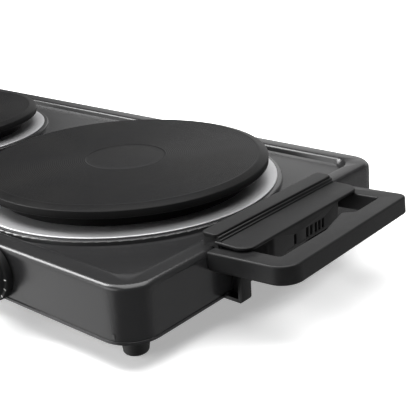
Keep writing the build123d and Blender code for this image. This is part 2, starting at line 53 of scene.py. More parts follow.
# camera and stage
cameraLook = {
    "turn": 39.40, "rise": 14.55, "roll": -2.45,  # degrees
    "offset": (0.3908, -0.3637, 0.1692),  # from the top of the large plate
    "lens": 74.14, "sensor": 36.0, "shift": (-0.0607, -0.2508), "nearest": 0.01,
}
stageLook = {
    "floorSize": 6.0, "floorColour": (0.90, 0.90, 0.90), "floorRough": 0.55, "floorGlow": 0.36,
    "floorDrop": 0.2 * mm,
    "ambient": 0.06,
    "lobes": [
        # direction, strength, cosine where it starts, cosine where it is full, height it fades from and to
        ((-0.41, 0.87, 0.27), 0.95, 0.86, 0.985, 0.44, 0.30),  # bright backdrop, low behind
        ((-0.72, -0.69, -0.10), 1.55, 0.55, 0.97, 0.80, 0.30),  # low in front, to the left
        ((0.60, 0.78, -0.20), 0.35, 0.60, 0.95, 0.60, 0.30),  # low past the end
    ],
    "lights": [
        # name, place from the middle of the body, size, watts
        ("overheadBox", (0.05, 0.10, 1.55), (1.9, 1.6), 46.0),
        ("keyBox", (-0.95, -0.40, 1.15), (0.55, 0.80), 26.0),
        ("frontBox", (-0.35, -1.45, 0.95), (1.4, 0.6), 9.0),
    ],
}


def placeCamera():
    turn, rise, roll = (math.radians(cameraLook[k]) for k in ("turn", "rise", "roll"))
    ahead = Vector((-math.sin(turn) * math.cos(rise), math.cos(turn) * math.cos(rise), -math.sin(rise)))
    right = Vector((math.cos(turn), math.sin(turn), 0.0))
    up = right.cross(ahead)
    rolledRight = math.cos(roll) * right + math.sin(roll) * up
    rolledUp = math.cos(roll) * up - math.sin(roll) * right
    basis = Matrix((rolledRight, rolledUp, -ahead)).transposed().to_4x4()
    plateTop = middle("large_plate")
    plateTop.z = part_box("large_plate")[1].z
    data = bpy.data.cameras.new("viewCamera")
    data.lens = cameraLook["lens"]
    data.sensor_width = cameraLook["sensor"]
    data.shift_x, data.shift_y = cameraLook["shift"]
    data.clip_start = cameraLook["nearest"]
    camera = bpy.data.objects.new("viewCamera", data)
    camera.matrix_world = Matrix.Translation(plateTop + Vector(cameraLook["offset"])) @ basis
    bpy.context.scene.collection.objects.link(camera)
    bpy.context.scene.camera = camera


def placeLights():
    centre = middle("housing")
    for name, offset, size, watts in stageLook["lights"]:
        data = bpy.data.lights.new(name, "AREA")
        data.shape = "RECTANGLE"
        data.size, data.size_y = size
        data.energy = watts
        light = bpy.data.objects.new(name, data)
        light.location = centre + Vector(offset)
        light.rotation_euler = (-Vector(offset)).to_track_quat("-Z", "Y").to_euler()
        bpy.context.scene.collection.objects.link(light)


def mapRange(tree, value, **settings):
    # a smooth ramp between two values of a socket
    node = tree.nodes.new("ShaderNodeMapRange")
    node.interpolation_type = "SMOOTHSTEP"
    for label, setting in settings.items():
        node.inputs[label.replace("_", " ")].default_value = setting
    tree.links.new(value, node.inputs["Value"])
    return node.outputs[0]


def whiteField(tree):
    field = tree.nodes.new("ShaderNodeBackground")
    field.inputs["Color"].default_value = (1, 1, 1, 1)
    return field


def makeWorld():
    # dim room with soft bright fields set by direction; white where the camera sees it
    world = bpy.data.worlds.new("studioWorld")
    world.use_nodes = True
    tree = world.node_tree
    tree.nodes.clear()
    out = tree.nodes.new("ShaderNodeOutputWorld")
    place = tree.nodes.new("ShaderNodeTexCoord")
    split = tree.nodes.new("ShaderNodeSeparateXYZ")
    tree.links.new(place.outputs["Generated"], split.inputs[0])
    total = None
    for direction, strength, start, full, fadeFrom, fadeTo in stageLook["lobes"]:
        dot = tree.nodes.new("ShaderNodeVectorMath")
        dot.operation = "DOT_PRODUCT"
        dot.inputs[1].default_value = Vector(direction).normalized()
        tree.links.new(place.outputs["Generated"], dot.inputs[0])
        field = mapRange(tree, dot.outputs["Value"], From_Min=start, From_Max=full, To_Max=strength)
        fade = mapRange(tree, split.outputs["Z"], From_Min=fadeFrom, From_Max=fadeTo)
        join = tree.nodes.new("ShaderNodeMath")
        join.operation = "MULTIPLY_ADD"
        tree.links.new(field, join.inputs[0])
        tree.links.new(fade, join.inputs[1])
        join.inputs[2].default_value = stageLook["ambient"]
        if total is not None:
            tree.links.new(total, join.inputs[2])
        total = join.outputs[0]
    lit = whiteField(tree)
    tree.links.new(total, lit.inputs["Strength"])
    seen = whiteField(tree)
    path = tree.nodes.new("ShaderNodeLightPath")
    mix = tree.nodes.new("ShaderNodeMixShader")
    tree.links.new(path.outputs["Is Camera Ray"], mix.inputs[0])
    tree.links.new(lit.outputs[0], mix.inputs[1])
    tree.links.new(seen.outputs[0], mix.inputs[2])
    tree.links.new(mix.outputs[0], out.inputs[0])
    bpy.context.scene.world = world
    bpy.context.scene.view_settings.view_transform = "Standard"


def makeFloor():
    half = stageLook["floorSize"] / 2
    mesh = bpy.data.meshes.new("studioFloor")
    mesh.from_pydata([(-half, -half, 0), (half, -half, 0), (half, half, 0), (-half, half, 0)], [], [(0, 1, 2, 3)])
    floor = bpy.data.objects.new("studioFloor", mesh)
    floor.location.z = -stageLook["floorDrop"]
    floor.visible_glossy = False  # the fields of the world stand in for it in reflections
    bpy.context.scene.collection.objects.link(floor)
    paint = bpy.data.materials.new("floorPaper")
    paint.use_nodes = True
    shader = paint.node_tree.nodes["Principled BSDF"]
    shader.inputs["Base Color"].default_value = (*stageLook["floorColour"], 1)
    shader.inputs["Roughness"].default_value = stageLook["floorRough"]
    shader.inputs["Emission Color"].default_value = (1, 1, 1, 1)
    shader.inputs["Emission Strength"].default_value = stageLook["floorGlow"]
    mesh.materials.append(paint)


placeCamera()
placeLights()
makeWorld()
makeFloor()
print("stage ready")


# shader groups
def newGroup(name, inputs, outputs):
    tree = bpy.data.node_groups.new(name, "ShaderNodeTree")
    for label, kind, value in inputs:
        socket = tree.interface.new_socket(name=label, in_out="INPUT", socket_type=kind)
        if value is not None:
            socket.default_value = value
    for label, kind in outputs:
        tree.interface.new_socket(name=label, in_out="OUTPUT", socket_type=kind)
    return tree, tree.nodes.new("NodeGroupInput"), tree.nodes.new("NodeGroupOutput")


def addNode(tree, kind, **settings):
    node = tree.nodes.new(kind)
    for key, value in settings.items():
        setattr(node, key, value)
    return node


def mathNode(tree, operation, first, second=None):
    node = addNode(tree, "ShaderNodeMath", operation=operation)
    for socket, value in zip(node.inputs, (first, second)):
        if value is None:
            continue
        if isinstance(value, (int, float)):
            socket.default_value = value
        else:
            tree.links.new(value, socket)
    return node.outputs[0]


def makeGrainGroup():
    # fine even grain of a moulding or a sprayed coat, with its larger waves
    tree, given, out = newGroup(
        "grainHeight",
        [("Vector", "NodeSocketVector", None), ("Grain Scale", "NodeSocketFloat", 900.0),
         ("Wave Scale", "NodeSocketFloat", 60.0), ("Wave Share", "NodeSocketFloat", 0.3)],
        [("Height", "NodeSocketFloat")])
    grain = addNode(tree, "ShaderNodeTexNoise")
    grain.inputs["Detail"].default_value = 3.0
    wave = addNode(tree, "ShaderNodeTexNoise")
    wave.inputs["Detail"].default_value = 2.0
    for noise, label in ((grain, "Grain Scale"), (wave, "Wave Scale")):
        tree.links.new(given.outputs["Vector"], noise.inputs["Vector"])
        tree.links.new(given.outputs[label], noise.inputs["Scale"])
    share = mathNode(tree, "MULTIPLY", wave.outputs["Fac"], given.outputs["Wave Share"])
    tree.links.new(mathNode(tree, "ADD", grain.outputs["Fac"], share), out.inputs["Height"])
    return tree


def makeDriftGroup():
    # slow change of tone and roughness over a surface, with faint handling smudges
    tree, given, out = newGroup(
        "toneDrift",
        [("Vector", "NodeSocketVector", None), ("Colour", "NodeSocketColor", (0.5, 0.5, 0.5, 1)),
         ("Worn Colour", "NodeSocketColor", (0.6, 0.6, 0.6, 1)), ("Drift Scale", "NodeSocketFloat", 14.0),
         ("Drift", "NodeSocketFloat", 0.5), ("Rough Low", "NodeSocketFloat", 0.4),
         ("Rough High", "NodeSocketFloat", 0.5)],
        [("Colour", "NodeSocketColor"), ("Roughness", "NodeSocketFloat")])
    slow = addNode(tree, "ShaderNodeTexNoise")
    slow.inputs["Detail"].default_value = 5.0
    slow.inputs["Roughness"].default_value = 0.6
    tree.links.new(given.outputs["Vector"], slow.inputs["Vector"])
    tree.links.new(given.outputs["Drift Scale"], slow.inputs["Scale"])
    spread = addNode(tree, "ShaderNodeMapRange")
    spread.inputs["From Min"].default_value = 0.35
    spread.inputs["From Max"].default_value = 0.68
    tree.links.new(slow.outputs["Fac"], spread.inputs["Value"])
    amount = mathNode(tree, "MULTIPLY", spread.outputs[0], given.outputs["Drift"])
    mix = addNode(tree, "ShaderNodeMix", data_type="RGBA")
    tree.links.new(amount, mix.inputs["Factor"])
    tree.links.new(given.outputs["Colour"], mix.inputs[6])
    tree.links.new(given.outputs["Worn Colour"], mix.inputs[7])
    tree.links.new(mix.outputs[2], out.inputs["Colour"])
    rough = addNode(tree, "ShaderNodeMapRange")
    tree.links.new(spread.outputs[0], rough.inputs["Value"])
    tree.links.new(given.outputs["Rough Low"], rough.inputs["To Min"])
    tree.links.new(given.outputs["Rough High"], rough.inputs["To Max"])
    tree.links.new(rough.outputs[0], out.inputs["Roughness"])
    return tree


def makeTurnedGroup():
    # concentric tool marks about the vector's origin: fine lines whose depth changes round the circle
    tree, given, out = newGroup(
        "turnedLines",
        [("Vector", "NodeSocketVector", None), ("Lines", "NodeSocketFloat", 2600.0),
         ("Around", "NodeSocketFloat", 3.0)],
        [("Height", "NodeSocketFloat")])
    split = addNode(tree, "ShaderNodeSeparateXYZ")
    tree.links.new(given.outputs["Vector"], split.inputs[0])
    xx = mathNode(tree, "MULTIPLY", split.outputs["X"], split.outputs["X"])
    yy = mathNode(tree, "MULTIPLY", split.outputs["Y"], split.outputs["Y"])
    radius = mathNode(tree, "SQRT", mathNode(tree, "ADD", xx, yy))
    angle = mathNode(tree, "ARCTAN2", split.outputs["Y"], split.outputs["X"])
    bend = mathNode(tree, "SINE", mathNode(tree, "MULTIPLY", angle, 2.0))
    join = addNode(tree, "ShaderNodeCombineXYZ")
    tree.links.new(mathNode(tree, "MULTIPLY", radius, given.outputs["Lines"]), join.inputs["X"])
    tree.links.new(mathNode(tree, "MULTIPLY", bend, given.outputs["Around"]), join.inputs["Y"])
    noise = addNode(tree, "ShaderNodeTexNoise")
    noise.inputs["Scale"].default_value = 1.0
    noise.inputs["Detail"].default_value = 3.0
    tree.links.new(join.outputs[0], noise.inputs["Vector"])
    tree.links.new(noise.outputs["Fac"], out.inputs["Height"])
    return tree


def makeDustGroup():
    # specks and a thin haze that settle on faces that look up
    tree, given, out = newGroup(
        "settledDust",
        [("Vector", "NodeSocketVector", None), ("Colour", "NodeSocketColor", (0.1, 0.1, 0.1, 1)),
         ("Dust Colour", "NodeSocketColor", (0.42, 0.41, 0.40, 1)), ("Amount", "NodeSocketFloat", 0.02),
         ("Speck Scale", "NodeSocketFloat", 420.0)],
        [("Colour", "NodeSocketColor")])
    specks = addNode(tree, "ShaderNodeTexNoise")
    specks.inputs["Detail"].default_value = 2.0
    tree.links.new(given.outputs["Vector"], specks.inputs["Vector"])
    tree.links.new(given.outputs["Speck Scale"], specks.inputs["Scale"])
    sharp = addNode(tree, "ShaderNodeMapRange")
    sharp.inputs["From Min"].default_value = 0.55
    sharp.inputs["From Max"].default_value = 0.75
    tree.links.new(specks.outputs["Fac"], sharp.inputs["Value"])
    facing = addNode(tree, "ShaderNodeNewGeometry")
    split = addNode(tree, "ShaderNodeSeparateXYZ")
    tree.links.new(facing.outputs["Normal"], split.inputs[0])
    upward = mathNode(tree, "MAXIMUM", split.outputs["Z"], 0.0)
    share = mathNode(tree, "ADD", mathNode(tree, "MULTIPLY", sharp.outputs[0], 0.7), 0.3)
    amount = mathNode(tree, "MULTIPLY", mathNode(tree, "MULTIPLY", upward, share), given.outputs["Amount"])
    mix = addNode(tree, "ShaderNodeMix", data_type="RGBA")
    tree.links.new(amount, mix.inputs["Factor"])
    tree.links.new(given.outputs["Colour"], mix.inputs[6])
    tree.links.new(given.outputs["Dust Colour"], mix.inputs[7])
    tree.links.new(mix.outputs[2], out.inputs["Colour"])
    return tree


grainGroup = makeGrainGroup()
driftGroup = makeDriftGroup()
turnedGroup = makeTurnedGroup()
dustGroup = makeDustGroup()


def placeGroup(tree, group, vector, **values):
    node = addNode(tree, "ShaderNodeGroup", node_tree=group)
    tree.links.new(vector, node.inputs["Vector"])
    for label, value in values.items():
        node.inputs[label.replace("_", " ")].default_value = value
    return node


def makeFinish(name, look, centre=None):
    # one finish: tone and roughness drift, dust, grain and, about a centre, turned lines
    material = bpy.data.materials.new(name)
    material.use_nodes = True
    tree = material.node_tree
    shader = tree.nodes["Principled BSDF"]
    coords = addNode(tree, "ShaderNodeTexCoord").outputs["Object"]
    drift = placeGroup(tree, driftGroup, coords, Colour=(*look["colour"], 1), Worn_Colour=(*look["worn"], 1),
                       Drift_Scale=look.get("driftScale", 14.0), Drift=look.get("drift", 0.5),
                       Rough_Low=look["rough"][0], Rough_High=look["rough"][1])
    dust = placeGroup(tree, dustGroup, coords, Amount=look.get("dust", 0.0),
                      Dust_Colour=(*look.get("dustColour", (0.42, 0.41, 0.40)), 1))
    tree.links.new(drift.outputs["Colour"], dust.inputs["Colour"])
    tree.links.new(dust.outputs["Colour"], shader.inputs["Base Color"])
    tree.links.new(drift.outputs["Roughness"], shader.inputs["Roughness"])
    grain = placeGroup(tree, grainGroup, coords, Grain_Scale=look["grainScale"], Wave_Scale=look.get("waveScale", 60.0),
                       Wave_Share=look.get("waveShare", 0.3))
    bump = addNode(tree, "ShaderNodeBump")
    bump.inputs["Distance"].default_value = look["grainDepth"]
    bump.inputs["Strength"].default_value = look.get("grainStrength", 0.5)
    tree.links.new(grain.outputs["Height"], bump.inputs["Height"])
    normal = bump.outputs[0]
    if centre is not None:
        move = addNode(tree, "ShaderNodeMapping")
        move.inputs["Location"].default_value = (-centre.x, -centre.y, 0)
        tree.links.new(coords, move.inputs["Vector"])
        turned = placeGroup(tree, turnedGroup, move.outputs[0], Lines=look["lines"], Around=look.get("around", 3.0))
        lineBump = addNode(tree, "ShaderNodeBump")
        lineBump.inputs["Distance"].default_value = look["lineDepth"]
        lineBump.inputs["Strength"].default_value = look.get("lineStrength", 0.6)
        tree.links.new(turned.outputs["Height"], lineBump.inputs["Height"])
        tree.links.new(normal, lineBump.inputs["Normal"])
        normal = lineBump.outputs[0]
    tree.links.new(normal, shader.inputs["Normal"])
    shader.inputs["Metallic"].default_value = look.get("metallic", 0.0)
    shader.inputs["Specular IOR Level"].default_value = look.get("specular", 0.5)
    shader.inputs["Coat Weight"].default_value = look.get("coat", 0.0)
    shader.inputs["Coat Roughness"].default_value = look.get("coatRough", 0.2)
    shader.inputs["Transmission Weight"].default_value = look.get("clear", 0.0)
    return material


finishes = {
    "enamel": {"colour": (0.013, 0.013, 0.0135), "worn": (0.017, 0.017, 0.0175), "rough": (0.20, 0.26),
               "specular": 0.42, "drift": 0.6,
               "driftScale": 9.0, "grainScale": 1500.0, "grainDepth": 0.00004, "waveScale": 160.0, "waveShare": 0.8,
               "dust": 0.012},
    "panEnamel": {"colour": (0.02, 0.02, 0.021), "worn": (0.035, 0.034, 0.033), "rough": (0.42, 0.55),
                  "grainScale": 900.0, "grainDepth": 0.00005},
    "iron": {"colour": (0.009, 0.009, 0.0094), "worn": (0.014, 0.0137, 0.0133), "rough": (0.28, 0.38),
             "specular": 0.045, "drift": 0.7,
             "driftScale": 22.0, "grainScale": 1300.0, "grainDepth": 0.00005, "lines": 5200.0, "lineDepth": 0.00006,
             "lineStrength": 0.9, "dust": 0.004},
    "stainless": {"colour": (0.66, 0.66, 0.67), "worn": (0.58, 0.58, 0.59), "rough": (0.36, 0.46),
                  "metallic": 0.72,
                  "driftScale": 26.0, "grainScale": 900.0, "grainDepth": 0.000008, "lines": 4200.0,
                  "lineDepth": 0.00006, "lineStrength": 0.9, "around": 5.0},
    "moulding": {"colour": (0.008, 0.008, 0.0083), "worn": (0.012, 0.012, 0.0123), "rough": (0.38, 0.46),
                 "specular": 0.22, "drift": 0.6,
                 "driftScale": 30.0, "grainScale": 2600.0, "grainDepth": 0.00005, "grainStrength": 0.6,
                 "waveScale": 400.0, "dust": 0.015},
    "rubber": {"colour": (0.013, 0.013, 0.013), "worn": (0.024, 0.024, 0.023), "rough": (0.55, 0.72),
               "grainScale": 1200.0, "grainDepth": 0.00012},
    "zinc": {"colour": (0.62, 0.63, 0.65), "worn": (0.50, 0.50, 0.49), "rough": (0.26, 0.42), "metallic": 1.0,
             "driftScale": 60.0, "grainScale": 1400.0, "grainDepth": 0.00003},
    "filling": {"colour": (0.42, 0.39, 0.35), "worn": (0.30, 0.28, 0.25), "rough": (0.7, 0.9), "grainScale": 800.0,
                "grainDepth": 0.0003},
    "steatite": {"colour": (0.78, 0.76, 0.71), "worn": (0.62, 0.59, 0.53), "rough": (0.55, 0.75),
                 "grainScale": 1100.0, "grainDepth": 0.0001},
    "amber": {"colour": (0.85, 0.16, 0.02), "worn": (0.70, 0.10, 0.015), "rough": (0.08, 0.16), "clear": 0.55,
              "grainScale": 700.0, "grainDepth": 0.00003, "coat": 0.4},
    "white": {"colour": (0.80, 0.80, 0.79), "worn": (0.68, 0.68, 0.66), "rough": (0.35, 0.45), "grainScale": 1500.0,
              "grainDepth": 0.00002},
    "sleeve": {"colour": (0.72, 0.70, 0.64), "worn": (0.55, 0.53, 0.48), "rough": (0.75, 0.9), "grainScale": 2400.0,
               "grainDepth": 0.0002, "grainStrength": 0.9},
}
material = {name: makeFinish(name, look) for name, look in finishes.items() if name not in ("iron", "stainless")}
for zone in zoneNames:
    for name in ("iron", "stainless"):
        material[zone + name] = makeFinish(zone + name.capitalize(), finishes[name], middle(zone + "_plate"))
print("finishes ready:", len(material))


# mesh helpers
def addObject(name, mesh):
    thing = bpy.data.objects.new(name, mesh)
    bpy.context.scene.collection.objects.link(thing)
    return thing


def smoothByAngle(mesh, degrees):
    # smooth faces, with a sharp edge where two faces turn by more than the angle
    limit = math.radians(degrees)
    bm = bmesh.new()
    bm.from_mesh(mesh)
    for face in bm.faces:
        face.smooth = True
    for edge in bm.edges:
        edge.smooth = len(edge.link_faces) == 2 and edge.calc_face_angle(0.0) < limit
    bm.to_mesh(mesh)
    bm.free()


def flattened(thing):
    # the evaluated mesh as a plain one, with every modifier gone
    graph = bpy.context.evaluated_depsgraph_get()
    mesh = bpy.data.meshes.new_from_object(thing.evaluated_get(graph))
    thing.modifiers.clear()
    old = thing.data
    thing.data = mesh
    bpy.data.meshes.remove(old)
    mesh.name = thing.name
    return thing


def softCopy(name, node, finish, bevel=0.0, angle=32.0, segments=2):
    # a node's own shape with its loose triangles joined, flats cleaned up and hard edges eased
    bm = bmesh.new()
    bm.from_mesh(nodes[node].data)
    bmesh.ops.remove_doubles(bm, verts=bm.verts, dist=2e-6)
    bmesh.ops.dissolve_limit(bm, angle_limit=math.radians(0.6), verts=bm.verts, edges=bm.edges)
    mesh = bpy.data.meshes.new(name)
    bm.to_mesh(mesh)
    bm.free()
    mesh.materials.clear()
    mesh.materials.append(finish)
    thing = addObject(name, mesh)
    if bevel > 0:
        ease = thing.modifiers.new("easedEdges", "BEVEL")
        ease.width = bevel
        ease.segments = segments
        ease.limit_method = "ANGLE"
        ease.angle_limit = math.radians(angle)
        ease.use_clamp_overlap = True
        ease.miter_outer = "MITER_ARC"
        flattened(thing)
    smoothByAngle(thing.data, angle)
    return thing


def lathe(name, profile, centre, finish, segments=256, closed=False):
    # turns (radius, height) points about the vertical line through the centre
    bm = bmesh.new()
    columns = []
    for k in range(segments):
        turn = 2 * math.pi * k / segments
        columns.append([bm.verts.new((centre.x + r * math.cos(turn), centre.y + r * math.sin(turn), z))
                        for r, z in profile])
    steps = len(profile) if closed else len(profile) - 1
    for k in range(segments):
        here, there = columns[k], columns[(k + 1) % segments]
        for i in range(steps):
            j = (i + 1) % len(profile)
            bm.faces.new((here[i], there[i], there[j], here[j]))
    bmesh.ops.remove_doubles(bm, verts=bm.verts, dist=1e-7)
    bmesh.ops.dissolve_degenerate(bm, edges=bm.edges, dist=1e-8)
    bmesh.ops.recalc_face_normals(bm, faces=bm.faces)
    mesh = bpy.data.meshes.new(name)
    bm.to_mesh(mesh)
    bm.free()
    mesh.materials.append(finish)
    return addObject(name, mesh)


def arcPoints(middleR, middleZ, radius, start, end, steps):
    turns = [math.radians(start + (end - start) * k / steps) for k in range(steps + 1)]
    return [(middleR + radius * math.cos(t), middleZ + radius * math.sin(t)) for t in turns]


def standIn(thing, body, slotName, *replaced):
    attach(thing, body)
    if replaced:
        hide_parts(*replaced)
    return thing


# node tree helpers
def newTree(name, inputs):
    tree = bpy.data.node_groups.new(name, "GeometryNodeTree")
    tree.is_modifier = True
    tree.interface.new_socket(name="Geometry", in_out="INPUT", socket_type="NodeSocketGeometry")
    for label, kind in inputs:
        tree.interface.new_socket(name=label, in_out="INPUT", socket_type=kind)
    tree.interface.new_socket(name="Geometry", in_out="OUTPUT", socket_type="NodeSocketGeometry")
    return tree, tree.nodes.new("NodeGroupInput"), tree.nodes.new("NodeGroupOutput")


def endTree(tree, given, out, geometry):
    real = tree.nodes.new("GeometryNodeRealizeInstances")
    paint = tree.nodes.new("GeometryNodeSetMaterial")
    tree.links.new(geometry, real.inputs[0])
    tree.links.new(real.outputs[0], paint.inputs["Geometry"])
    tree.links.new(given.outputs["Finish"], paint.inputs["Material"])
    tree.links.new(paint.outputs[0], out.inputs[0])


def runTree(thing, tree, **values):
    change = thing.modifiers.new(tree.name, "NODES")
    change.node_group = tree
    sockets = {item.name: item.identifier for item in tree.interface.items_tree if item.in_out == "INPUT"}
    for label, value in values.items():
        change[sockets[label.replace("_", " ")]] = value
    return flattened(thing)


topBand = 0.02 * mm  # how far under the top a point still counts as the top


def makeGrooveTree():
    # sinks evenly pitched rings into a flat top about a centre
    tree, given, out = newTree("turnedGrooves", [
        ("Centre", "NodeSocketVector"), ("Pitch", "NodeSocketFloat"), ("Depth", "NodeSocketFloat"),
        ("Inner Radius", "NodeSocketFloat"), ("Outer Radius", "NodeSocketFloat"), ("Top", "NodeSocketFloat"),
        ("Finish", "NodeSocketMaterial")])
    place = tree.nodes.new("GeometryNodeInputPosition")
    away = addNode(tree, "ShaderNodeVectorMath", operation="SUBTRACT")
    tree.links.new(place.outputs[0], away.inputs[0])
    tree.links.new(given.outputs["Centre"], away.inputs[1])
    split = tree.nodes.new("ShaderNodeSeparateXYZ")
    tree.links.new(away.outputs[0], split.inputs[0])
    xx = mathNode(tree, "MULTIPLY", split.outputs["X"], split.outputs["X"])
    yy = mathNode(tree, "MULTIPLY", split.outputs["Y"], split.outputs["Y"])
    radius = mathNode(tree, "SQRT", mathNode(tree, "ADD", xx, yy))
    fromInner = mathNode(tree, "SUBTRACT", radius, given.outputs["Inner Radius"])
    phase = mathNode(tree, "MULTIPLY", mathNode(tree, "DIVIDE", fromInner, given.outputs["Pitch"]), 2 * math.pi)
    wave = mathNode(tree, "MULTIPLY", mathNode(tree, "SUBTRACT", 1.0, mathNode(tree, "COSINE", phase)), 0.5)
    height = tree.nodes.new("ShaderNodeSeparateXYZ")
    tree.links.new(place.outputs[0], height.inputs[0])
    nearTop = mathNode(tree, "GREATER_THAN", height.outputs["Z"],
                       mathNode(tree, "SUBTRACT", given.outputs["Top"], topBand))
    pastInner = mathNode(tree, "GREATER_THAN", fromInner, 0.0)
    beforeOuter = mathNode(tree, "LESS_THAN", radius, given.outputs["Outer Radius"])
    inside = mathNode(tree, "MULTIPLY", mathNode(tree, "MULTIPLY", pastInner, beforeOuter), nearTop)
    sink = mathNode(tree, "MULTIPLY", mathNode(tree, "MULTIPLY", wave, inside), given.outputs["Depth"])
    join = tree.nodes.new("ShaderNodeCombineXYZ")
    tree.links.new(mathNode(tree, "MULTIPLY", sink, -1.0), join.inputs["Z"])
    shift = tree.nodes.new("GeometryNodeSetPosition")
    tree.links.new(given.outputs["Geometry"], shift.inputs["Geometry"])
    tree.links.new(join.outputs[0], shift.inputs["Offset"])
    endTree(tree, given, out, shift.outputs[0])
    return tree


def makeScatterTree():
    # sets one source shape on each point of the given mesh
    tree, given, out = newTree("shapeOnPoints", [("Source", "NodeSocketObject"), ("Finish", "NodeSocketMaterial")])
    source = tree.nodes.new("GeometryNodeObjectInfo")
    put = tree.nodes.new("GeometryNodeInstanceOnPoints")
    tree.links.new(given.outputs["Source"], source.inputs["Object"])
    tree.links.new(given.outputs["Geometry"], put.inputs["Points"])
    tree.links.new(source.outputs["Geometry"], put.inputs["Instance"])
    endTree(tree, given, out, put.outputs[0])
    return tree


def makeTickTree():
    # bars set round an arc in the plane across Y, each pointing at the centre
    tree, given, out = newTree("dialTicks", [
        ("Centre", "NodeSocketVector"), ("Count", "NodeSocketInt"), ("Start", "NodeSocketFloat"),
        ("Arc", "NodeSocketFloat"), ("Radius", "NodeSocketFloat"), ("Bar", "NodeSocketVector"),
        ("Finish", "NodeSocketMaterial")])
    line = addNode(tree, "GeometryNodeMeshLine")
    tree.links.new(given.outputs["Count"], line.inputs["Count"])
    index = tree.nodes.new("GeometryNodeInputIndex")
    last = mathNode(tree, "SUBTRACT", given.outputs["Count"], 1.0)
    share = mathNode(tree, "DIVIDE", index.outputs[0], last)
    angle = mathNode(tree, "ADD", given.outputs["Start"], mathNode(tree, "MULTIPLY", share, given.outputs["Arc"]))
    spot = tree.nodes.new("ShaderNodeCombineXYZ")
    tree.links.new(mathNode(tree, "MULTIPLY", mathNode(tree, "SINE", angle), given.outputs["Radius"]), spot.inputs["X"])
    tree.links.new(mathNode(tree, "MULTIPLY", mathNode(tree, "COSINE", angle), given.outputs["Radius"]),
                   spot.inputs["Z"])
    whole = addNode(tree, "ShaderNodeVectorMath", operation="ADD")
    tree.links.new(spot.outputs[0], whole.inputs[0])
    tree.links.new(given.outputs["Centre"], whole.inputs[1])
    move = tree.nodes.new("GeometryNodeSetPosition")
    tree.links.new(line.outputs[0], move.inputs["Geometry"])
    tree.links.new(whole.outputs[0], move.inputs["Position"])
    bar = tree.nodes.new("GeometryNodeMeshCube")
    tree.links.new(given.outputs["Bar"], bar.inputs["Size"])
    turn = tree.nodes.new("ShaderNodeCombineXYZ")
    tree.links.new(angle, turn.inputs["Y"])
    put = tree.nodes.new("GeometryNodeInstanceOnPoints")
    tree.links.new(move.outputs[0], put.inputs["Points"])
    tree.links.new(bar.outputs[0], put.inputs["Instance"])
    tree.links.new(turn.outputs[0], put.inputs["Rotation"])
    endTree(tree, given, out, put.outputs[0])
    return tree


grooveTree = makeGrooveTree()
scatterTree = makeScatterTree()
tickTree = makeTickTree()

# plates
plateLook = {
    "rim": 6.0 * mm, "chamferWidth": 5.3 * mm, "chamferDrop": 1.5 * mm, "cornerEase": 0.9 * mm, "ease": 0.4 * mm,
    "skirtInset": 10.9 * mm, "skirtWall": 4.0 * mm, "hubRadius": 9.0 * mm, "facets": 192, "sharpAngle": 40,
    "socketRadius": 3.0 * mm, "socketDepth": 6.0 * mm,
    "spotRadius": 25.0 * mm, "spotDrop": 0.25 * mm, "spotSlope": 1.2 * mm,
    "groovePitch": 1.25 * mm, "grooveDepth": 0.10 * mm, "grooveSteps": 4, "plainBand": 0.8 * mm,
}


def makePlate(zone):
    look = plateLook
    low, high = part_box(zone + "_plate")
    centre = middle(zone + "_plate")
    radius = (high.x - low.x) / 2
    top, under, bottom = high.z, high.z - look["rim"], low.z
    skirt = radius - look["skirtInset"]
    floorZ = top - look["spotDrop"]
    grooveStart = look["spotRadius"] + look["spotSlope"]
    flat = radius - look["chamferWidth"]
    rings = int((flat - look["plainBand"] - grooveStart) / look["groovePitch"])
    grooveEnd = grooveStart + rings * look["groovePitch"]
    step = look["groovePitch"] / look["grooveSteps"]
    profile = [(0, floorZ)] + [(look["spotRadius"] * k / 6, floorZ) for k in range(1, 7)]
    profile += [(look["spotRadius"] + look["spotSlope"] * t, floorZ + look["spotDrop"] * (3 * t * t - 2 * t ** 3))
                for t in (0.2, 0.4, 0.6, 0.8)]
    profile += [(grooveStart + step * k, top) for k in range(rings * look["grooveSteps"] + 1)]
    chamferFoot = top - look["chamferDrop"]
    # the chamfer, with its two edges eased
    profile += [(flat - 0.1 * mm, top), (flat + 0.3 * mm, top - 0.06 * mm),
                (radius - look["cornerEase"], chamferFoot + 0.22 * mm),
                (radius - 0.25 * mm, chamferFoot - 0.03 * mm), (radius, chamferFoot - 0.35 * mm)]
    ease = look["ease"]
    profile += [(radius, under + ease), (radius - ease, under)]
    profile += [(skirt, under), (skirt, bottom + ease), (skirt - ease, bottom)]
    profile += [(skirt - look["skirtWall"] + ease, bottom), (skirt - look["skirtWall"], bottom + ease),
                (skirt - look["skirtWall"], under)]
    profile += [(look["hubRadius"], under), (look["hubRadius"], bottom), (look["socketRadius"], bottom),
                (look["socketRadius"], bottom + look["socketDepth"]), (0, bottom + look["socketDepth"])]
    plate = lathe(zone + "PlateTurned", profile, centre, material[zone + "iron"],
                  segments=look["facets"])
    runTree(plate, grooveTree, Centre=centre, Pitch=look["groovePitch"], Depth=look["grooveDepth"],
            Inner_Radius=grooveStart, Outer_Radius=grooveEnd + 1e-6, Top=top, Finish=material[zone + "iron"])
    smoothByAngle(plate.data, look["sharpAngle"])
    standIn(plate, "base", "cast_iron_black", zone + "_plate")


# trim rings
ringLook = {"edge": 0.42 * mm, "ease": 0.15 * mm, "boreEase": 0.3 * mm, "boreInset": 17.5 * mm, "sharpAngle": 50}


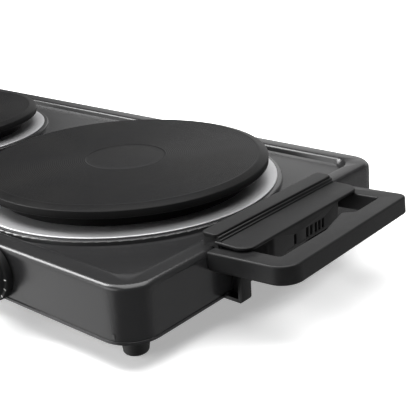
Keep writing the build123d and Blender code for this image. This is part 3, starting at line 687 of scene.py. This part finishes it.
def makeRing(zone):
    look = ringLook
    low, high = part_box(zone + "_trim_ring")
    centre = middle(zone + "_trim_ring")
    outer = (high.x - low.x) / 2
    plateLow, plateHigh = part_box(zone + "_plate")
    inner = (plateHigh.x - plateLow.x) / 2 - look["boreInset"]
    top, bottom, edge = high.z, low.z, look["edge"]
    profile = [(inner, bottom), (outer - look["ease"], bottom), (outer, bottom + look["ease"])]
    profile += arcPoints(outer - edge, top - edge, edge, 0, 90, 5)
    profile += [(outer - 3 * mm, top), (inner + 6 * mm, top), (inner + look["boreEase"], top),
                (inner, top - look["boreEase"])]
    ring = lathe(zone + "TrimRing", profile, centre, material[zone + "stainless"], segments=256, closed=True)
    smoothByAngle(ring.data, look["sharpAngle"])
    standIn(ring, "base", "stainless_trim", zone + "_trim_ring")


for zone in zoneNames:
    makePlate(zone)
    makeRing(zone)
print("plates and trim rings ready")

# housing, pan, handles, knobs
standIn(softCopy("housingShell", "housing", material["enamel"], angle=24), "base", "black_enamel_steel", "housing")
standIn(softCopy("basePan", "base_pan", material["panEnamel"], angle=30), "base", "black_enamel_steel", "base_pan")
for side in ("right", "left"):
    handle = softCopy(side + "HandleMoulding", side + "_handle", material["moulding"], bevel=0.45 * mm)
    standIn(handle, "base", "black_moulded_plastic", side + "_handle")

tickLook = {"count": 13, "arc": 270.0, "radius": 14.9 * mm, "bar": (0.5 * mm, 0.12 * mm, 1.5 * mm),
            "setBack": 4.0 * mm}
for zone in zoneNames:
    knob = softCopy(zone + "Knob", zone + "_knob", material["moulding"], bevel=0.25 * mm)
    standIn(knob, zone + "_control", "black_moulded_plastic", zone + "_knob")
    centre = middle(zone + "_knob")
    centre.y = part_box(zone + "_knob")[1].y - tickLook["setBack"]
    ticks = addObject(zone + "KnobTicks", bpy.data.meshes.new(zone + "KnobTicks"))
    runTree(ticks, tickTree, Centre=centre, Count=tickLook["count"], Start=math.radians(-tickLook["arc"]),
            Arc=math.radians(tickLook["arc"]), Radius=tickLook["radius"], Bar=tickLook["bar"],
            Finish=material["white"])
    standIn(ticks, zone + "_control", "pointer_white")
print("housing, handles and knobs ready")

# feet and their screws
footLook = {"top": 8.5 * mm, "bottom": 6.8 * mm, "round": 1.5 * mm, "recess": 4.0 * mm, "recessDepth": 9.0 * mm,
            "hole": 2.0 * mm, "bands": 3}
screwLook = {"head": 3.6 * mm, "height": 2.4 * mm, "crown": 0.9 * mm, "shank": 2.0 * mm, "shankLength": 13.6 * mm,
             "slotWidth": 1.1 * mm, "slotDepth": 1.2 * mm}


def footPoints():
    low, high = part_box("feet")
    inset = footLook["top"]
    return [(x, y, 0) for x in (low.x + inset, high.x - inset) for y in (low.y + inset, high.y - inset)]


def scatter(name, source, points, finish):
    mesh = bpy.data.meshes.new(name)
    mesh.from_pydata(points, [], [])
    thing = addObject(name, mesh)
    runTree(thing, scatterTree, Source=source, Finish=finish)
    bpy.data.objects.remove(source)
    return thing


def makeFeet():
    look = footLook
    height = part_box("feet")[1].z
    lean = (look["top"] - look["bottom"]) / height
    profile = [(look["hole"], height), (look["top"], height)]
    for k in range(look["bands"]):  # shallow moulded bands up the side
        z = height * (0.86 - 0.16 * k)
        r = look["bottom"] + lean * z
        profile += [(r, z + 0.5 * mm), (r - 0.25 * mm, z), (r, z - 0.5 * mm)]
    profile += arcPoints(look["bottom"] - look["round"], look["round"], look["round"], 0, -90, 6)
    profile += [(look["recess"], 0), (look["recess"], look["recessDepth"]), (look["hole"], look["recessDepth"])]
    foot = lathe("footSource", profile, Vector((0, 0, 0)), material["rubber"], segments=64, closed=True)
    smoothByAngle(foot.data, 38)
    feet = scatter("rubberFeet", foot, footPoints(), material["rubber"])
    standIn(feet, "base", "black_rubber", "feet")


def makeFootScrews():
    look = screwLook
    under = footLook["recessDepth"] - look["height"]
    profile = [(0, under)]
    for degrees in (25, 50, 70, 90):  # the domed head
        lean = math.radians(degrees)
        profile.append((look["head"] * math.sin(lean), under + look["crown"] * (1 - math.cos(lean))))
    shankTop = under + look["height"] + look["shankLength"]
    profile += [(look["head"], footLook["recessDepth"]), (look["shank"], footLook["recessDepth"]),
                (look["shank"], shankTop), (0, shankTop)]
    screw = lathe("screwSource", profile, Vector((0, 0, 0)), material["zinc"], segments=40)
    for turn in (0, math.pi / 2):
        cutter = addObject("slotCutter", bpy.data.meshes.new("slotCutter"))
        bm = bmesh.new()
        bmesh.ops.create_cube(bm, size=1.0)
        size = Matrix.Diagonal((look["head"] * 1.25, look["slotWidth"], 2 * look["slotDepth"], 1))
        bmesh.ops.transform(bm, matrix=Matrix.Translation((0, 0, under)) @ Matrix.Rotation(turn, 4, "Z") @ size,
                            verts=bm.verts)
        bm.to_mesh(cutter.data)
        bm.free()
        cut = screw.modifiers.new("recess", "BOOLEAN")
        cut.operation = "DIFFERENCE"
        cut.object = cutter
        flattened(screw)
        bpy.data.objects.remove(cutter)
    smoothByAngle(screw.data, 38)
    screws = scatter("footScrews", screw, footPoints(), material["zinc"])
    standIn(screws, "base", "zinc_steel", "foot_screws")


makeFeet()
makeFootScrews()
gland = softCopy("cordGland", "cord_gland", material["rubber"], bevel=0.3 * mm)
standIn(gland, "base", "black_rubber", "cord_gland")
print("feet, screws and gland ready")

# nodes that keep their own shape
carried = {
    "zinc": ("handle_screws", "clamp_bridge", "clamp_washer", "clamp_nut", "plate_stud", "bush_nut", "spindle",
             "heat_shield", "terminal_strip_screws"),
    "filling": ("element",),
    "steatite": ("element_terminals", "thermostat", "terminal_strip"),
    "amber": ("lamp_lens",),
    "white": ("lamp_holder", "knob_pointer"),
    "sleeve": ("internal_wires",),
}
for finish, names in carried.items():
    for name in names:
        for node in (name, "large_" + name, "small_" + name):
            if node in nodes:
                nodes[node].data.materials.clear()
                nodes[node].data.materials.append(material[finish])
print("inner parts finished")
